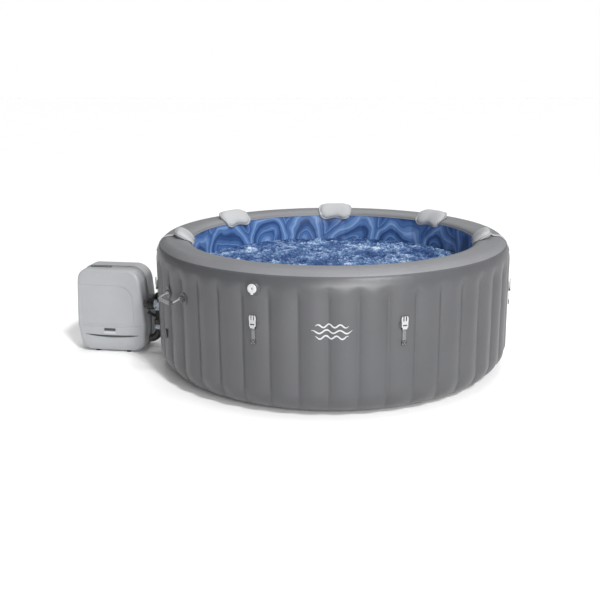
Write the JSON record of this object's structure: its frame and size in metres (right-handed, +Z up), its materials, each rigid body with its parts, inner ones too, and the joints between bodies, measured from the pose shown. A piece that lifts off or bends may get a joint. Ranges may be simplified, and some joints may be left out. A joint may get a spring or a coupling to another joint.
{
  "type": "inflatable hot tub",
  "caption": "Round inflatable hot tub with ribbed double wall, blue patterned liner, clip-on headrests, carrying handles, cover buckles and an external pump, heater and blower unit.",
  "frame": {"origin": "centre of the tub's round footprint on the floor", "axes": "+Z up, -Y towards the front, +X away from the pump unit, which stands on the -X side"},
  "size_m": [2.7365, 2.16, 0.844],
  "materials": {
    "outer_pvc": "satin",
    "rim_pvc": "satin",
    "liner_pvc": "satin",
    "web_sheet": "matte",
    "duct_plastic": "matte",
    "white_plastic": "gloss",
    "metal_trim": "brushed",
    "port_plastic": "satin",
    "clear_plastic": "gloss",
    "nut_plastic": "satin",
    "seal_rubber": "matte",
    "hose_rubber": "satin",
    "filter_media": "matte",
    "patch_pvc": "satin",
    "webbing": "woven",
    "grip_pvc": "satin",
    "pad_pvc": "soft satin",
    "casing_plastic": "satin",
    "band_plastic": "satin",
    "panel_gloss": "gloss",
    "board_laminate": "matte",
    "moulding": "matte",
    "rotor_plastic": "matte",
    "screw_steel": "brushed"
  },
  "bodies": {
    "tub_and_pump": {"outer_wall": "outer_pvc", "top_rim": "rim_pvc", "inner_wall": "liner_pvc", "base_sheet": "outer_pvc", "floor_liner": "liner_pvc", "wall_i_beams": "web_sheet", "air_jet_channel": "liner_pvc", "jet_manifold": "duct_plastic", "jet_bodies": "white_plastic", "inflation_valve_body": "white_plastic", "drain_valve_body": "port_plastic", "wall_ports": "port_plastic", "clear_fittings": "clear_plastic", "coupling_seals": "seal_rubber", "riser_hose": "hose_rubber", "elbow_hose": "hose_rubber", "filter_housing": "white_plastic", "filter_cartridge": "filter_media", "weld_patches": "patch_pvc", "clip_straps": "webbing", "pump_front_shell": "casing_plastic", "pump_mid_frame": "band_plastic", "pump_rear_shell": "casing_plastic", "pump_base_tray": "moulding", "pump_feet": "seal_rubber", "control_panel": "panel_gloss", "control_board": "board_laminate", "jet_pump_housing": "moulding", "heater": "metal_trim", "blower_housing": "moulding", "vent_grille": "band_plastic", "cable_gland": "moulding", "casing_screws": "screw_steel"},
    "jet_nozzle_1": {"jet_nozzle_1": "metal_trim"},
    "jet_nozzle_2": {"jet_nozzle_2": "metal_trim"},
    "jet_nozzle_3": {"jet_nozzle_3": "metal_trim"},
    "jet_nozzle_4": {"jet_nozzle_4": "metal_trim"},
    "jet_nozzle_5": {"jet_nozzle_5": "metal_trim"},
    "valve_stem": {"inflation_valve_stem": "white_plastic"},
    "valve_cap": {"inflation_valve_cap": "white_plastic"},
    "drain_cap": {"drain_valve_cap": "port_plastic"},
    "upper_front_nut": {"coupling_upper_front": "nut_plastic"},
    "upper_rear_nut": {"coupling_upper_rear": "nut_plastic"},
    "lower_nut": {"coupling_lower": "nut_plastic"},
    "filter_lid": {"filter_lid": "white_plastic"},
    "clip_1": {"cover_clip_1": "white_plastic"},
    "clip_2": {"cover_clip_2": "white_plastic"},
    "clip_3": {"cover_clip_3": "white_plastic"},
    "clip_4": {"cover_clip_4": "white_plastic"},
    "clip_5": {"cover_clip_5": "white_plastic"},
    "clip_6": {"cover_clip_6": "white_plastic"},
    "handle_front": {"handle_grip_front": "grip_pvc"},
    "handle_rear": {"handle_grip_rear": "grip_pvc"},
    "headrest_1": {"headrest_1": "pad_pvc"},
    "headrest_2": {"headrest_2": "pad_pvc"},
    "headrest_3": {"headrest_3": "pad_pvc"},
    "headrest_4": {"headrest_4": "pad_pvc"},
    "headrest_5": {"headrest_5": "pad_pvc"},
    "impeller": {"jet_impeller": "rotor_plastic"},
    "fan": {"blower_fan": "rotor_plastic"}
  },
  "joints": [
    {"name": "jet_1_aim", "type": "hinge", "parent": "tub_and_pump", "child": "jet_nozzle_1", "pos_m": [-0.65592, 0.57154, 0.245], "axis": [0, 0, 1], "range_deg": [-15, 15]},
    {"name": "jet_2_aim", "type": "hinge", "parent": "tub_and_pump", "child": "jet_nozzle_2", "pos_m": [-0.85889, -0.13857, 0.245], "axis": [0, 0, 1], "range_deg": [-15, 15]},
    {"name": "jet_3_aim", "type": "hinge", "parent": "tub_and_pump", "child": "jet_nozzle_3", "pos_m": [0.86847, -0.05149, 0.245], "axis": [0, 0, 1], "range_deg": [-15, 15]},
    {"name": "jet_4_aim", "type": "hinge", "parent": "tub_and_pump", "child": "jet_nozzle_4", "pos_m": [0.68118, 0.5412, 0.245], "axis": [0, 0, 1], "range_deg": [-15, 15]},
    {"name": "jet_5_aim", "type": "hinge", "parent": "tub_and_pump", "child": "jet_nozzle_5", "pos_m": [0.01974, 0.86978, 0.245], "axis": [0, 0, 1], "range_deg": [-15, 15]},
    {"name": "valve_stem_press", "type": "slide", "parent": "tub_and_pump", "child": "valve_stem", "axis": [0.3778, 0.9259, 0], "range_m": [0, 0.006], "stiffness_N_per_m": 150},
    {"name": "valve_cap_tether", "type": "hinge", "parent": "tub_and_pump", "child": "valve_cap", "pos_m": [-0.41151, -1.00837, 0.665], "axis": [0.9259, -0.3778, 0], "range_deg": [0, 110]},
    {"name": "drain_cap_screw", "type": "hinge", "parent": "tub_and_pump", "child": "drain_cap", "pos_m": [0.48493, 0.97619, 0.17], "axis": [0.4449, 0.8956, 0], "range_deg": [0, 270]},
    {"name": "upper_front_nut_turn", "type": "hinge", "parent": "tub_and_pump", "child": "upper_front_nut", "pos_m": [-1.16263, 0.06241, 0.325], "axis": [0.9903, -0.1392, 0], "range_deg": [0, 270]},
    {"name": "upper_rear_nut_turn", "type": "hinge", "parent": "tub_and_pump", "child": "upper_rear_nut", "pos_m": [-1.14106, 0.21591, 0.325], "axis": [0.9903, -0.1392, 0], "range_deg": [0, 270]},
    {"name": "lower_nut_turn", "type": "hinge", "parent": "tub_and_pump", "child": "lower_nut", "pos_m": [-1.11708, 0.05601, 0.2105], "axis": [0, 0, 1], "range_deg": [0, 270]},
    {"name": "filter_lid_turn", "type": "hinge", "parent": "tub_and_pump", "child": "filter_lid", "pos_m": [-0.78138, 0.00883, 0.44], "axis": [0, 0, 1], "range_deg": [0, 90]},
    {"name": "clip_1_swing", "type": "hinge", "parent": "tub_and_pump", "child": "clip_1", "pos_m": [-0.41304, -1.00709, 0.49], "axis": [0.9252, -0.3795, 0], "range_deg": [0, 160]},
    {"name": "clip_2_swing", "type": "hinge", "parent": "tub_and_pump", "child": "clip_2", "pos_m": [0.36693, -1.02479, 0.49], "axis": [0.9415, 0.3371, 0], "range_deg": [0, 160]},
    {"name": "clip_3_swing", "type": "hinge", "parent": "tub_and_pump", "child": "clip_3", "pos_m": [1.0685, -0.2077, 0.49], "axis": [0.1908, 0.9816, 0], "range_deg": [0, 160]},
    {"name": "clip_4_swing", "type": "hinge", "parent": "tub_and_pump", "child": "clip_4", "pos_m": [-1.0751, -0.17028, 0.49], "axis": [0.1564, -0.9877, 0], "range_deg": [0, 160]},
    {"name": "clip_5_swing", "type": "hinge", "parent": "tub_and_pump", "child": "clip_5", "pos_m": [0.70403, 0.83016, 0.49], "axis": [-0.7627, 0.6468, 0], "range_deg": [0, 160]},
    {"name": "clip_6_swing", "type": "hinge", "parent": "tub_and_pump", "child": "clip_6", "pos_m": [-0.66565, 0.86125, 0.49], "axis": [-0.7912, -0.6115, 0], "range_deg": [0, 160]},
    {"name": "handle_front_swing", "type": "hinge", "parent": "tub_and_pump", "child": "handle_front", "pos_m": [-0.88229, -0.6375, 0.562], "axis": [0.5857, -0.8106, 0], "range_deg": [-95, 58]},
    {"name": "handle_rear_swing", "type": "hinge", "parent": "tub_and_pump", "child": "handle_rear", "pos_m": [0.88229, 0.6375, 0.562], "axis": [-0.5857, 0.8106, 0], "range_deg": [-95, 58]},
    {"name": "headrest_1_lift", "type": "slide", "parent": "tub_and_pump", "child": "headrest_1", "axis": [0, 0, 1], "range_m": [0, 0.2]},
    {"name": "headrest_2_lift", "type": "slide", "parent": "tub_and_pump", "child": "headrest_2", "axis": [0, 0, 1], "range_m": [0, 0.2]},
    {"name": "headrest_3_lift", "type": "slide", "parent": "tub_and_pump", "child": "headrest_3", "axis": [0, 0, 1], "range_m": [0, 0.2]},
    {"name": "headrest_4_lift", "type": "slide", "parent": "tub_and_pump", "child": "headrest_4", "axis": [0, 0, 1], "range_m": [0, 0.2]},
    {"name": "headrest_5_lift", "type": "slide", "parent": "tub_and_pump", "child": "headrest_5", "axis": [0, 0, 1], "range_m": [0, 0.2]},
    {"name": "impeller_spin", "type": "hinge", "parent": "tub_and_pump", "child": "impeller", "pos_m": [-1.33453, 0.09667, 0.115], "axis": [0.1392, 0.9903, 0], "continuous": true},
    {"name": "fan_spin", "type": "hinge", "parent": "tub_and_pump", "child": "fan", "pos_m": [-1.50529, 0.2469, 0.12], "axis": [0, 0, 1], "continuous": true}
  ]
}
